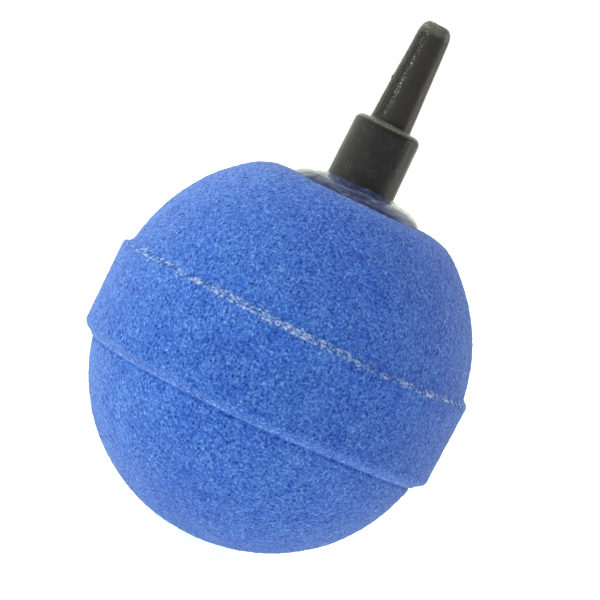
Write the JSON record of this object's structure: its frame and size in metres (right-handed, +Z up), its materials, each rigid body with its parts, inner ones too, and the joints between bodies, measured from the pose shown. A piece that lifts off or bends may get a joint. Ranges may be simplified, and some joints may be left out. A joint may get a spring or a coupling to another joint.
{
  "type": "air stone",
  "caption": "Ball-shaped aquarium air stone: bonded porous stone halves with a raised band, round a hollow chamber, and a moulded nipple with a tapered nozzle for airline tubing.",
  "frame": {"origin": "lowest point of the ball, on the nipple's axis", "axes": "+Z up, along the nipple from the ball to the nozzle's tip; the object is round about Z, so X and Y are free"},
  "size_m": [0.05, 0.05, 0.0746],
  "materials": {
    "stone": "matte",
    "seam_adhesive": "matte",
    "nipple_plastic": "satin",
    "clear_adhesive": "gloss"
  },
  "bodies": {
    "root": {"lower_stone_half": "stone", "upper_stone_half": "stone", "seam_adhesive": "seam_adhesive", "air_nipple": "nipple_plastic", "nipple_adhesive": "clear_adhesive"}
  },
  "joints": []
}
